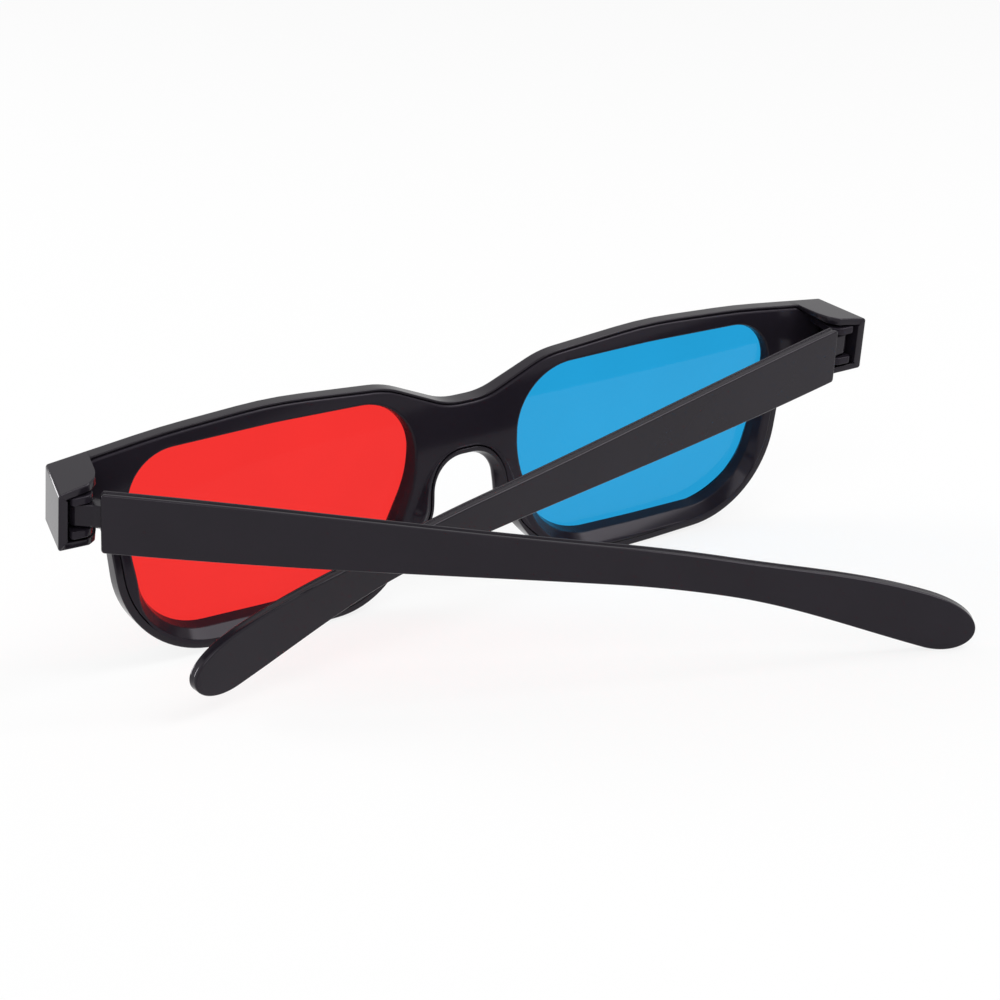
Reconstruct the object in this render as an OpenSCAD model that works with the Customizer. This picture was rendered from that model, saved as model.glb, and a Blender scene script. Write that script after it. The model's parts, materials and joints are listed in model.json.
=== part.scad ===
// Anaglyph 3D glasses, half folded and standing on the two rims and the tip of one temple.
// The front is drawn upright with x to the wearer's left, y to the wearer and z up,
// the lens plane at y = 0. The whole is then leaned back onto the ground.

/* [Lenses] */
// Width of one lens opening
lens_w = 50.1; // [46:0.1:54]
// Height of one lens opening
lens_h = 31.6; // [28:0.1:36]
// Height of the top of the lens openings over the optical axis
lens_top = 13; // [12:0.1:15]
// Distance between the two lens openings
lens_gap = 20.6; // [19:0.1:24]
// How far the lower outer corner of an opening is drawn in
lens_outer_taper = 4.6; // [2:0.1:7]
// How far the lower inner corner of an opening is drawn in
lens_inner_taper = 6.9; // [4:0.1:9]
// Rise of the opening's upper edge in the middle
lens_crown = 0.4; // [0:0.1:1]
// Corner radius at the outer top of an opening
lens_r_outer_top = 7.5; // [6:0.5:12]
// Corner radius at the inner top of an opening
lens_r_inner_top = 10; // [6:0.5:12]
// Corner radius at the outer bottom of an opening
lens_r_outer_low = 12; // [8:0.5:14]
// Corner radius at the inner bottom of an opening
lens_r_inner_low = 13; // [8:0.5:15]
// Radius of the bend in an opening's upper edge
lens_r_top = 120; // [80:1:160]
// Radius of the bend in an opening's outer side
lens_r_outer = 30; // [22:1:40]
// Radius of the bend in an opening's inner side
lens_r_inner = 20; // [20:1:30]
// Radius of the bend in an opening's lower edge
lens_r_low = 150; // [100:1:200]
// Thickness of a lens film
lens_t = 0.6; // [0.4:0.1:0.9]
// How far a lens film reaches under the frame around its opening
lens_lip = 1.5; // [1:0.1:1.8]
// Distance of the films' rear faces in front of the lens plane
film_d = 0.6; // [0.3:0.1:0.8]

/* [Front] */
// Height of the brow over the lens openings, at its crown
brow_h = 4.1; // [3:0.1:6]
// Fall of the brow from its crown to the end piece
brow_fall = 3.4; // [2:0.1:4.5]
// How far the brow's outer half bows up over a straight fall
brow_bow = 0.6; // [0.2:0.1:1]
// Radius of the bends along the brow
brow_r = 130; // [90:1:160]
// Height of the bridge saddle under the lens tops
saddle_drop = 2.5; // [1:0.1:5]
// Half width of the bridge saddle's floor
saddle_w = 3.6; // [3:0.1:6]
// Radius of the bends beside the saddle's floor
saddle_r = 12; // [9:0.5:15]
// Distance of the brow's inner shoulder from the opening's inner side
shoulder_w = 4.6; // [3.5:0.1:6]
// Height of the brow's inner shoulder under its crown
shoulder_drop = 1.7; // [1:0.1:2.5]
// Radius of the bend at the brow's inner shoulder
shoulder_r = 16; // [12:0.5:18]
// Width of the rim beside a lens opening
rim_side = 3.9; // [3.4:0.1:6]
// Width of the rim under a lens opening
rim_low = 3.8; // [3.3:0.1:6]
// How far a rim's outer side is drawn in at its waist
rim_waist = 0.5; // [0:0.1:1]
// Radius of the bend in a rim's outer side
rim_r_side = 40; // [30:1:60]
// How far a rim's lower outer corner lies outside the opening
rim_low_out = 0.1; // [0:0.1:1]
// Height of a rim's lower outer corner over its lowest place
rim_low_rise = 1.5; // [1:0.1:2.5]
// Corner radius at the outer bottom of a rim
rim_r_low = 18; // [15:0.5:20]
// Distance of a rim's lowest place from the opening's middle
rim_floor_in = 2.4; // [1:0.1:4]
// Radius of the bend in a rim's lower edge
rim_r_floor = 120; // [90:1:160]
// How far a rim's lower inner corner lies inside the opening's corner
rim_in = 1.1; // [0.5:0.1:2]
// Height of a rim's lower inner corner over its lowest place
rim_in_rise = 0.5; // [0:0.1:1]
// Corner radius at the inner bottom of a rim
rim_r_in = 14; // [11:0.5:16]
// Half width of the nose arch
nose_w = 5.7; // [4.6:0.1:6.2]
// Height of the nose arch's crown over the optical axis
nose_top = 1.2; // [-1:0.1:2]
// Height at which the nose arch begins to spread
nose_low = -9.5; // [-11:0.1:-6]
// Radius of the bend where the nose arch begins to spread
nose_r = 8; // [6:0.5:10]
// Width by which the nose arch flares towards the wearer
nose_flare = 2.2; // [1.4:0.1:2.6]
// Width by which the nose arch flares towards the front
nose_front = 3; // [2:0.1:3.4]
// Height over which the front flare grows from the arch's crown down
nose_run = 8; // [6:0.5:10]
// Length over which the wall around the nose runs out into the rims
nose_blend = 4; // [3:0.1:5]
// Distance from the lens plane to the front face
front_d = 2; // [1.6:0.1:3]
// Width of the bevel between the front face and the rims' sides
front_bevel = 2; // [1:0.1:2.6]
// Depth of the bevel between the front face and the rims' sides
bevel_d = 1.4; // [1:0.1:1.6]
// Height over which the bevel grows below the end pieces
bevel_run = 5; // [4:0.1:8]
// Thickness of the shell's walls
wall = 1.2; // [1:0.05:1.5]
// Thickness of the shell's wall along the brow
brow_wall = 0.5; // [0.4:0.05:1]
// Length over which the brow's wall gets as thick as the others
brow_blend = 1.7; // [1:0.1:6]
// Thickness of the shell's wall around the nose
nose_wall = 2.2; // [1.6:0.1:2.4]
// Depth of the shell's walls behind the lens plane, at the optical axis
wall_d = 1.5; // [0.8:0.1:2.4]
// Height by which the rear cover stands out of the shell
cover_proud = 0.3; // [0.2:0.1:2]
// Slope by which the frame gets thicker towards the rims' lower edge
rear_slope = 5; // [2:0.1:6]
// Gap between the rear cover and the shell around it
cover_gap = 0.12; // [0.08:0.01:0.2]
// Width of the bevel around an opening for each millimetre of its depth
funnel = 0.3; // [0.2:0.01:0.6]
// Height of the nose pads over the rear cover
pad_h = 1.8; // [1:0.1:3]
// Distance of a nose pad's crest from the middle
pad_x = 9.4; // [9:0.1:10.5]
// Height of a nose pad's crest over the optical axis
pad_z = -7; // [-9:0.1:-5]
// Length of a nose pad between its rounded ends
pad_l = 12; // [9:0.1:14]
// Radius of a nose pad's rounding
pad_r = 1.7; // [1.5:0.1:2]

/* [Hinges] */
// Half width of the front at the front edge of the end pieces
end_w = 72.9; // [72.2:0.1:74]
// Width by which an end piece spreads towards the rear
end_spread = 2.6; // [2:0.1:3.2]
// Distance from the lens plane to the rear edge of the end pieces
end_d = 7.8; // [7.2:0.1:8.4]
// Height of an end piece
end_h = 9.5; // [8.8:0.1:10.5]
// How far the foot of an end piece stands off the rim
end_foot = 0.6; // [0.2:0.1:1]
// Corner radius between the foot of an end piece and the rim
end_foot_r = 3; // [2:0.5:4]
// Distance of a hinge axis from the outer side of the end pieces' front edge
axis_in = 1.7; // [1.4:0.1:2.2]
// Distance of a hinge axis behind the lens plane
axis_y = 5.6; // [5:0.1:6]
// Diameter of a hinge pin
pin_d = 1.2; // [1:0.1:1.5]
// Outer radius of the hinge lugs
lug_r = 2.1; // [1.9:0.1:2.3]
// Thickness of the upper and lower hinge lugs
lug_t = 1.3; // [1:0.1:1.6]
// Outer radius of a temple's barrel
barrel_r = 1.7; // [1.5:0.1:1.8]
// Gap between a barrel and the lugs above and below it
barrel_play = 0.15; // [0.1:0.01:0.25]
// Gap around a hinge pin in its barrel
pin_play = 0.05; // [0.02:0.01:0.08]

/* [Temples] */
// Length of a temple from the hinge axis to the tip
temple_l = 135.8; // [128:0.1:142]
// Thickness of a temple
temple_t = 1.8; // [1.5:0.1:3]
// Distance of a temple's outer face from the hinge axis
temple_out = 3.5; // [3:0.1:4]
// Distance of a temple's butt end from the hinge axis
butt_d = 3.4; // [3.2:0.1:4]
// Gap between a temple's butt end and the end piece's floor
butt_gap = 0.4; // [0.3:0.1:0.8]
// Height of a temple at its butt end
butt_h = 9.7; // [8:0.1:10]
// Height of a temple at its waist
waist_h = 6; // [5:0.1:8]
// Distance of the waist from the hinge axis
waist_d = 97; // [85:1:105]
// Height of a temple at its ear end
ear_h = 9.2; // [7:0.1:11]
// Length of the rounded tip
tip_l = 8; // [7:0.1:14]
// How far the tip's end lies above the middle of the ear end
tip_rise = 1; // [0:0.1:2]
// Fall of a temple along its straight part, in degrees
temple_fall = 5; // [3:0.1:7]
// How far the straight part of a temple hangs through
temple_sag = 0.25; // [0:0.05:0.5]
// Distance from the hinge axis at which a temple begins to bend down
bend_d = 82; // [70:1:90]
// Radius of the bend over the ear
bend_r = 212; // [180:1:400]
// Fold of the left temple from its open position, in degrees
left_fold = 61.2; // [55:0.1:64]
// Fold of the right temple from its open position, in degrees
right_fold = 82.4; // [80:0.1:86]
// Lift of the left temple and sag of the right one, in degrees
temple_lift = 1.2; // [1.1:0.05:1.8]

/* [Hidden] */

$fn = 64;
// Largest angle between two points of a rounded corner
arc_step = 7;
// Radius from which a corner is a soft bend, and leaves most of its sides to its neighbours
soft_r = 1.05 * rim_r_low;
// Reach of the cutting bodies past what they cut
over = 1;

// Places on the front, seen from the wearer
lens_in = lens_gap / 2;
lens_out = lens_in + lens_w;
lens_mid = (lens_in + lens_out) / 2;
lens_low = lens_top - lens_h;
brow_top = lens_top + brow_h;
rim_out = lens_out + rim_side;
rim_floor = lens_low - rim_low;
saddle_top = lens_top - saddle_drop;
end_top = brow_top - brow_fall;
end_floor = end_top - end_h;
bow_x = (lens_mid + end_w) / 2;
bow_z = (brow_top + end_top) / 2 + brow_bow;
brow_rise = (bow_z - end_top) / (end_w - bow_x);
end_rear_w = end_w + end_spread;
axis_x = end_w - axis_in;
end_root = min(rim_out, axis_x - lug_r - 2 * wall);

// Depths, from the front face to the wearer
film_y = -film_d;
seat_y = film_y - lens_t;
cover_y = wall_d + cover_proud;
cover_inset = wall + cover_gap;
end_r = cover_inset + 3 * cover_gap;
deep = cover_y + pad_h + 2 * over;

// Heights in a hinge, from the end piece's floor up
lug_low_z = end_floor + wall + cover_gap;
barrel_low_z = lug_low_z + lug_t + barrel_play;
lug_top_z = end_top + brow_rise * (end_w - axis_x - lug_r) - wall - cover_gap;
barrel_top_z = lug_top_z - lug_t - barrel_play;
barrel_mid_z = (barrel_low_z + barrel_top_z) / 2;
pin_bore_d = pin_d + 2 * pin_play;

// Corners of one lens opening as [x, z, radius], clockwise from the middle of its top
LENS_CORNERS = [
    [lens_mid, lens_top + lens_crown, lens_r_top],
    [lens_out, lens_top - lens_crown / 4, lens_r_outer_top],
    [lens_out - lens_crown, lens_top - lens_h * 0.45, lens_r_outer],
    [lens_out - lens_outer_taper, lens_low + lens_crown / 2, lens_r_outer_low],
    [lens_mid, lens_low, lens_r_low],
    [lens_in + lens_inner_taper, lens_low + lens_crown / 2, lens_r_inner_low],
    [lens_in, lens_top - lens_h * 0.45, lens_r_inner],
    [lens_in, lens_top - lens_crown / 4, lens_r_inner_top]
];

// Corners of the left half of the front, from the bridge saddle round to the nose arch
NOSE_CORNERS = [
    [lens_in + lens_inner_taper + rim_in, rim_floor + rim_in_rise, rim_r_in],
    [nose_w, nose_low, nose_r],
    [nose_w, nose_top, nose_w - wall / 2]
];
HALF_CORNERS = concat([
    [saddle_w, saddle_top, saddle_r],
    [lens_in + shoulder_w, brow_top - shoulder_drop, shoulder_r],
    [lens_mid, brow_top, brow_r],
    [bow_x, bow_z, brow_r],
    [end_w, end_top, end_r],
    [end_w, end_floor, end_r],
    [rim_out + end_foot, end_floor, end_foot_r],
    [rim_out - rim_waist, lens_top - lens_h * 0.42, rim_r_side],
    [lens_out + rim_low_out, rim_floor + rim_low_rise, rim_r_low],
    [lens_mid - rim_floor_in, rim_floor, rim_r_floor]
], NOSE_CORNERS);

function flipped(corners) =
    [for (i = [len(corners) - 1 : -1 : 0]) [-corners[i].x, corners[i].y, corners[i].z]];
function flat(p) = [p.x, p.y];
function unit(v) = v / norm(v);

// Points of one corner, rounded as far as its two sides leave room
function corner_arc(before, at, after, r) =
    let (
        u = unit(before - at),
        v = unit(after - at),
        half = acos(u * v) / 2,
        share = r < soft_r ? 0.68 : 0.3,
        reach = min(r / tan(half), share * min(norm(before - at), norm(after - at))),
        rad = reach * tan(half),
        mid = at + unit(u + v) * rad / sin(half),
        a = at + u * reach - mid,
        b = at + v * reach - mid,
        from = atan2(a.y, a.x),
        sweep = (atan2(b.y, b.x) - from + 540) % 360 - 180,
        n = max(2, ceil(abs(sweep) / arc_step))
    )
    norm(u + v) < 0.001 ? [at]
    : [for (i = [0 : n]) mid + rad * [cos(from + sweep * i / n), sin(from + sweep * i / n)]];

function rounded(corners) =
    let (n = len(corners))
    [for (i = [0 : n - 1])
        each corner_arc(flat(corners[(i + n - 1) % n]), flat(corners[i]),
                        flat(corners[(i + 1) % n]), corners[i].z)];

// A clockwise outline drawn in by d, or let out where d is negative; d may be a list
function inset(points, d) =
    let (
        n = len(points),
        side = [for (i = [0 : n - 1])
            let (e = unit(points[(i + 1) % n] - points[i])) [e.y, -e.x]]
    )
    [for (i = [0 : n - 1])
        let (p = side[(i + n - 1) % n], q = side[i])
        points[i] + (p + q) * (is_num(d) ? d : d[i]) / (1 + p * q)];

LENS = rounded(LENS_CORNERS);
FRONT = rounded(concat(HALF_CORNERS, flipped(HALF_CORNERS)));

// Thickness of the shell's wall and width of the front bevel at a point of the outline
function part_of(f) = min(1, max(0, f));
function near_nose(p) = p.y < lens_top / 2 ? part_of((lens_in - abs(p.x)) / nose_blend + 0.9) : 0;
function near_brow(p) = p.y > lens_top * 0.7 ? part_of((end_w - abs(p.x)) / brow_blend) : 0;
function wall_at(p) =
    wall + near_nose(p) * (nose_wall - wall) + near_brow(p) * (brow_wall - wall);
function bevel_at(p) =
    front_bevel * (1 + 7 * part_of((end_floor - p.y) / bevel_run) * (1 - near_nose(p))) / 8;
WALL = inset(FRONT, [for (p = FRONT) wall_at(p)]);
COVER = inset(FRONT, [for (p = FRONT) wall_at(p) + cover_gap]);
FACE = inset(FRONT, [for (p = FRONT) bevel_at(p)]);
// The stretch of the outline around the left rim that is bevelled, as places in FRONT
BEVELLED = [for (i = [0 : len(FRONT) / 2 - 1])
    if (FRONT[i].y < end_floor - bevel_run / 10 && near_nose(FRONT[i]) < 0.9) i];
// The nose arch as a clockwise outline of the gap, closed below the rims
gap_low = rim_floor - 2 * over;
gap_end = NOSE_CORNERS[0].x;
NOSE_GAP = rounded([
    [-nose_w, nose_top, nose_w - wall / 2],
    [nose_w, nose_top, nose_w - wall / 2],
    [nose_w, nose_low, nose_r],
    [gap_end, gap_low, over],
    [-gap_end, gap_low, over],
    [-nose_w, nose_low, nose_r]
]);

// Side view of a temple: its middle line, its height and its outline
function temple_mid(s) =
    barrel_mid_z - tan(temple_fall) * s
    - (s > bend_d ? pow(s - bend_d, 2) / (2 * bend_r) : temple_sag * sin(180 * s / bend_d))
    + tip_rise * pow(part_of((s - temple_l + tip_l) / tip_l), 2);
function ease(a, b, f) = a + (b - a) * (1 - cos(180 * min(1, max(0, f)))) / 2;
function bar_h(s) =
    s < waist_d ? ease(butt_h, waist_h, (s - butt_d) / (waist_d - butt_d))
                : ease(waist_h, ear_h, (s - waist_d) / (temple_l - tip_l - waist_d));
function temple_h(s) =
    let (f = (s - temple_l + tip_l) / tip_l)
    bar_h(s) * (f > 0 ? sqrt(max(0, 1 - f * f)) : 1);
bar_steps = 20;
tip_steps = 9;
bar_end = temple_l - tip_l;
STATIONS = concat(
    [for (i = [0 : bar_steps]) butt_d + (bar_end - butt_d) * i / bar_steps],
    [for (i = [1 : tip_steps - 1]) bar_end + tip_l * sin(90 * i / tip_steps)]);
TEMPLE = concat(
    [for (s = STATIONS) [s, temple_mid(s) + temple_h(s) / 2]],
    [[temple_l, temple_mid(temple_l)]],
    [for (i = [len(STATIONS) - 1 : -1 : 0])
        [STATIONS[i], temple_mid(STATIONS[i]) - temple_h(STATIONS[i]) / 2]]);

// Corners of the left temple on the front, folded and lifted as it stands
function lifted(p, lift) =
    [p.x * cos(lift) - (p.y - barrel_mid_z) * sin(lift),
     barrel_mid_z + p.x * sin(lift) + (p.y - barrel_mid_z) * cos(lift)];
LEFT_TIP = [for (p = TEMPLE) each
    let (q = lifted(p, temple_lift))
    [for (n = [temple_out - temple_t, temple_out])
        [axis_y + q.x * cos(left_fold) + n * sin(left_fold), q.y]]];

// The lean at which the left temple's tip and the rims stand on the ground together
foot_z = min([for (p = FRONT) p.y]);
foot_y = wall_d - foot_z * tan(rear_slope);
lean = min([for (p = LEFT_TIP) if (p.x > temple_l / 4) atan2(p.y - foot_z, p.x - foot_y)]);
ground = foot_z * cos(lean) - foot_y * sin(lean);
foremost = min([for (i = BEVELLED) FACE[i].y]) * sin(lean) - front_d * cos(lean);
rearmost = max([for (p = LEFT_TIP) p.x * cos(lean) + p.y * sin(lean)]);

// From the upright front to the ground, with the origin under the middle of the whole
module standing() {
    translate([0, -(foremost + rearmost) / 2, -ground])
        rotate([-lean, 0, 0])
            children();
}

module black() {
    color([0.09, 0.085, 0.1]) children();
}

module both_sides() {
    children();
    mirror([1, 0, 0]) children();
}

// A plate with an outline seen from the wearer, between two depths
module plate(points, y0, y1) {
    translate([0, y1, 0])
        rotate([90, 0, 0])
            linear_extrude(y1 - y0)
                polygon(points);
}

// Everything behind the sloped rear plane that crosses the optical axis at depth y
module behind(y) {
    size = 3 * end_w;
    translate([0, y, 0])
        rotate([rear_slope, 0, 0])
            translate([-size / 2, 0, -size / 2])
                cube([size, size, size]);
}

// A body through outlines with as many points each, at growing depths
module loft(outlines, depths) {
    n = len(outlines[0]);
    last = len(depths) - 1;
    polyhedron(
        [for (k = [0 : last]) for (p = outlines[k]) [p.x, depths[k], p.y]],
        concat(
            [[for (i = [0 : n - 1]) i]],
            [[for (i = [n - 1 : -1 : 0]) last * n + i]],
            [for (k = [1 : last]) for (i = [0 : n - 1])
                [(k - 1) * n + i, k * n + i, k * n + (i + 1) % n]],
            [for (k = [1 : last]) for (i = [0 : n - 1])
                [(k - 1) * n + i, k * n + (i + 1) % n, (k - 1) * n + (i + 1) % n]]));
}

// What the front bevel takes off around the left rim: a three-sided bar along its outline
module rim_bevel() {
    past = 0.3;
    outer = inset(FRONT, [for (p = FRONT) -past * bevel_at(p)]);
    inner = inset(FRONT, [for (p = FRONT) (1 + past) * bevel_at(p)]);
    y0 = -front_d - past * bevel_d;
    y1 = -front_d + (1 + past) * bevel_d;
    n = len(BEVELLED);
    turn = [0, 1, 2];
    polyhedron(
        [for (i = BEVELLED) each
            [[outer[i].x, y1, outer[i].y], [outer[i].x, y0, outer[i].y], [inner[i].x, y0, inner[i].y]]],
        concat(
            [turn],
            [[3 * n - 1, 3 * n - 2, 3 * n - 3]],
            [for (i = [0 : n - 2]) for (k = turn) [3 * i + k, 3 * i + k + 3, 3 * i + (k + 1) % 3 + 3]],
            [for (i = [0 : n - 2]) for (k = turn)
                [3 * i + k, 3 * i + (k + 1) % 3 + 3, 3 * i + (k + 1) % 3]]));
}

// What the flares of the nose arch take off, narrowest just inside the arch
module nose_cut() {
    behind = nose_flare * (deep - wall_d) / cover_y;
    ahead = nose_front * (front_d + over + wall_d) / (front_d + wall_d) + cover_gap;
    loft([
        inset(NOSE_GAP, [for (p = NOSE_GAP) cover_gap - ahead * part_of((nose_top - p.y) / nose_run)]),
        inset(NOSE_GAP, cover_gap),
        inset(NOSE_GAP, -behind)
    ], [-front_d - over, wall_d, deep]);
}

// Half width of the front at depth y along the end pieces
function end_side(y) = end_w + end_spread * (y + front_d) / (end_d + front_d);

// Plan of the left end piece as [x, y], drawn in by the wall at its outer side
function end_plan(draw_in, front, rear) = [
    [end_root, front],
    [end_side(front) - draw_in, front],
    [end_side(rear) - draw_in, rear],
    [axis_x - lug_r / 2, rear - wall],
    [axis_x - lug_r - wall / 2, rear - 2 * wall],
    [axis_x - lug_r - wall, axis_y - wall],
    [end_root + 2 * wall, 0]
];

module end_block(draw_in, front, rear, low, high) {
    intersection() {
        translate([0, 0, end_floor - over])
            linear_extrude(end_h + 4 * over)
                polygon(end_plan(draw_in, front, rear));
        plate([
            [end_root - over, low],
            [end_rear_w + over, low],
            [end_rear_w + over, high - brow_rise * (end_spread + over)],
            [end_root - over, high + brow_rise * (end_w - end_root + over)]
        ], front - over, rear + over);
    }
}

// Outer wall, roof and floor of the left end piece, open to the rear
module end_piece() {
    difference() {
        end_block(0, -front_d, end_d, end_floor, end_top);
        end_block(wall, seat_y, end_d + 3 * over, end_floor + wall, end_top - wall);
        plate(WALL, seat_y, end_d + over);
    }
    translate([axis_x, axis_y, end_floor]) cylinder(r = butt_d - butt_gap, h = wall);
}

// The space around the nose arch, where the shell reaches the rear cover's surface
module nose_block() {
    translate([-lens_in - over, -over, gap_low])
        cube([2 * (lens_in + over), deep, nose_top + 4 * over - gap_low]);
}

module lens_holes(y0, y1) {
    both_sides() plate(LENS, y0, y1);
}

module front_frame() {
    black() standing() {
        difference() {
            union() {
                plate(FRONT, -front_d, seat_y);
                difference() {
                    plate(FRONT, seat_y, deep);
                    plate(WALL, seat_y, deep + over);
                    behind(cover_y);
                    difference() {
                        behind(wall_d);
                        nose_block();
                    }
                }
            }
            lens_holes(-front_d - over, seat_y + over);
            both_sides() rim_bevel();
            nose_cut();
        }
        both_sides() end_piece();
    }
}

// One hinge lug with its web, which keeps off the slanted outer wall
module lug(z, h) {
    reach = wall + 2 * cover_gap;
    translate([axis_x, axis_y, z]) cylinder(r = lug_r, h = h);
    translate([0, 0, z])
        linear_extrude(h)
            polygon([
                [axis_x - lug_r, 0],
                [end_w - reach, 0],
                [end_w - reach, wall_d],
                [min(axis_x + lug_r, end_side(axis_y) - reach), axis_y],
                [axis_x - lug_r, axis_y]
            ]);
}

module nose_pad() {
    hull() {
        translate([pad_x - 0.12 * pad_l, cover_y - pad_r / 2, pad_z + 0.42 * pad_l])
            sphere(r = pad_r, $fn = 24);
        translate([pad_x, cover_y + pad_h - pad_r, pad_z])
            sphere(r = pad_r, $fn = 24);
        translate([pad_x + 0.22 * pad_l, cover_y - pad_r / 4, pad_z - 0.58 * pad_l])
            sphere(r = pad_r, $fn = 24);
    }
}

module rear_frame() {
    black() standing() difference() {
        union() {
            difference() {
                plate(COVER, film_y, deep);
                behind(cover_y);
            }
            intersection() {
                plate(COVER, 0, 2 * deep);
                both_sides() nose_pad();
            }
            both_sides() {
                lug(lug_low_z, lug_t);
                lug(lug_top_z - lug_t, lug_t);
            }
        }
        both_sides() {
            loft([
                inset(LENS, funnel * over),
                inset(LENS, -funnel * (deep - film_y))
            ], [film_y - over, deep]);
            translate([axis_x, axis_y, lug_low_z - over]) cylinder(d = pin_d, h = end_h);
        }
    }
}

module lens() {
    plate(inset(LENS, -lens_lip), seat_y, film_y);
}

module red_lens() {
    color([0.93, 0.1, 0.1]) standing() lens();
}

module cyan_lens() {
    color([0.1, 0.55, 0.8]) standing() mirror([1, 0, 0]) lens();
}

// A temple on the left hinge axis, folded and lifted by the given angles
module temple(fold, lift) {
    barrel_h = barrel_top_z - barrel_low_z;
    translate([axis_x, axis_y, 0])
        rotate([0, 0, fold])
            difference() {
                union() {
                    translate([0, 0, barrel_mid_z])
                        rotate([lift, 0, 0])
                            translate([temple_out - temple_t, 0, -barrel_mid_z])
                                rotate([90, 0, 90])
                                    linear_extrude(temple_t)
                                        polygon(TEMPLE);
                    translate([0, 0, barrel_low_z]) cylinder(r = barrel_r, h = barrel_h);
                    translate([0, 0, barrel_low_z])
                        linear_extrude(barrel_h)
                            polygon([
                                [0, 0],
                                [barrel_r, 0],
                                [barrel_r, end_d - axis_y],
                                [temple_out - temple_t / 2, butt_d + over],
                                [0, butt_d + over]
                            ]);
                }
                translate([0, 0, barrel_low_z - over])
                    cylinder(d = pin_bore_d, h = barrel_h + 2 * over);
            }
}

module left_temple() {
    black() standing() temple(left_fold, temple_lift);
}

module right_temple() {
    black() standing() mirror([1, 0, 0]) temple(right_fold, -temple_lift);
}

// A pin that fills both lugs and carries the barrel between them
module hinge_pin() {
    translate([axis_x, axis_y, lug_low_z]) cylinder(d = pin_d, h = lug_top_z - lug_low_z);
}

module left_hinge_pin() {
    color([0.7, 0.7, 0.72]) standing() hinge_pin();
}

module right_hinge_pin() {
    color([0.7, 0.7, 0.72]) standing() mirror([1, 0, 0]) hinge_pin();
}

front_frame();
rear_frame();
red_lens();
cyan_lens();
left_temple();
right_temple();
left_hinge_pin();
right_hinge_pin();
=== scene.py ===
import json
import math
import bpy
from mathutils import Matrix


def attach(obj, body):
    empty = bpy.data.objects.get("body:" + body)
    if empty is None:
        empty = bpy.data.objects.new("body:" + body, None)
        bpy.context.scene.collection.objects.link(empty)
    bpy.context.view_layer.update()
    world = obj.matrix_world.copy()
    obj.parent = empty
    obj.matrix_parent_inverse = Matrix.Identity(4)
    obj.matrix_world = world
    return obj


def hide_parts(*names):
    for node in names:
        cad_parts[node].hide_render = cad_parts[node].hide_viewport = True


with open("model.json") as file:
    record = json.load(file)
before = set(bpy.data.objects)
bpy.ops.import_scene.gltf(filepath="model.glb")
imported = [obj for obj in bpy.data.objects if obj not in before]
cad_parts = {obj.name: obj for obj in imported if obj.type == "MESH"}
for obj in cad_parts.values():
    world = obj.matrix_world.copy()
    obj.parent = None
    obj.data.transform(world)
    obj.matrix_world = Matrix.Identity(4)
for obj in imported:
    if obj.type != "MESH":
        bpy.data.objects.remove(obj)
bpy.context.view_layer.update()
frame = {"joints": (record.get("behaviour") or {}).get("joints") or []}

from types import SimpleNamespace

import bmesh
import bpy
from bpy.props import FloatProperty, FloatVectorProperty, PointerProperty
from mathutils import Euler, Matrix, Vector

bl_info = {
    "name": "3D Glasses",
    "version": (1, 0, 0),
    "blender": (4, 5, 0),
    "location": "3D View > Sidebar > 3D Glasses",
    "description": "Moulds a pair of red and cyan glasses around their solid parts",
    "category": "Object",
}

MM = 0.001
# The left hinge of the solid parts gives the lean of the front and its place on the ground
HINGE = next(joint for joint in frame["joints"] if joint["child"] == "left_temple")
LEAN = math.atan2(HINGE["axis"][1], HINGE["axis"][2])
# Radius from which a corner is a soft bend, and leaves most of its sides to its neighbours
SOFT_R = 19 * MM
# Shares of a side that a hard corner, a soft bend and a fillet take up at most
HARD_SHARE = 0.68
SOFT_SHARE = 0.3
FILLET_SHARE = 0.48
# Share of a corner's radius up to which an inset draws its points together
DRAW_SHARE = 0.98
# Share of a step that has to be left on a side for one more point
LAST_STEP = 0.3
ARC_STEP = math.radians(4)
FILLET_STEPS = 4
FUNNEL_STEPS = 6
PAD_STEPS = 12
SMOOTH_ANGLE = math.radians(32)
# Spacing of the points on the lens openings, on the front and on its end pieces
LENS_STEP = 1.2 * MM
FRONT_STEP = 0.9 * MM
END_STEP = 0.2 * MM
# Distance that keeps the rear cover off the films
HAIR = 0.02 * MM
# Heights at which a form beside the nose begins, is fullest and ends
SWELL_SPAN = (-17 * MM, -7 * MM, 2 * MM)
PAD_SPAN = (-18 * MM, -9 * MM, MM)
CROWN_SPAN = (-17 * MM, -9 * MM, 0)
# Share of a nose pad's height that the edge of the nose arch has too
SWELL_SHARE = 0.75
# Place of a nose pad's crest on the strip that it rises from
PAD_CREST = 0.42
# Width of the land between the nose arch and the seam, at its sides and at its crown
NOSE_LANDS = (0.4 * MM, 0.8 * MM)
# Height over which the waist of the nose arch moves 1 mm to the front
WAIST_RISE = 6 * MM
# Rear edge of an end piece as (distance from its root, depth), from the rim to its side
END_PLAN = ((0.8 * MM, 4.4 * MM), (1.4 * MM, 6.1 * MM), (2.3 * MM, 7.2 * MM))
# Where the bevel around a lens opening begins to widen downwards, and over which height
LOW_FUNNEL_Z = -6 * MM
LOW_FUNNEL_FADE = 8 * MM


def length(name, text, mm):
    return FloatProperty(name=name, description=text, default=mm * MM, unit="LENGTH", precision=5)


def angle(name, text, degrees):
    return FloatProperty(name=name, description=text, default=math.radians(degrees),
                         subtype="ANGLE")


def share(name, text, value):
    return FloatProperty(name=name, description=text, default=value, min=0, max=1,
                         subtype="FACTOR")


def number(name, text, value):
    return FloatProperty(name=name, description=text, default=value)


def colour(name, text, value):
    return FloatVectorProperty(name=name, description=text, default=value, min=0, max=1,
                               size=3, subtype="COLOR")


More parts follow.
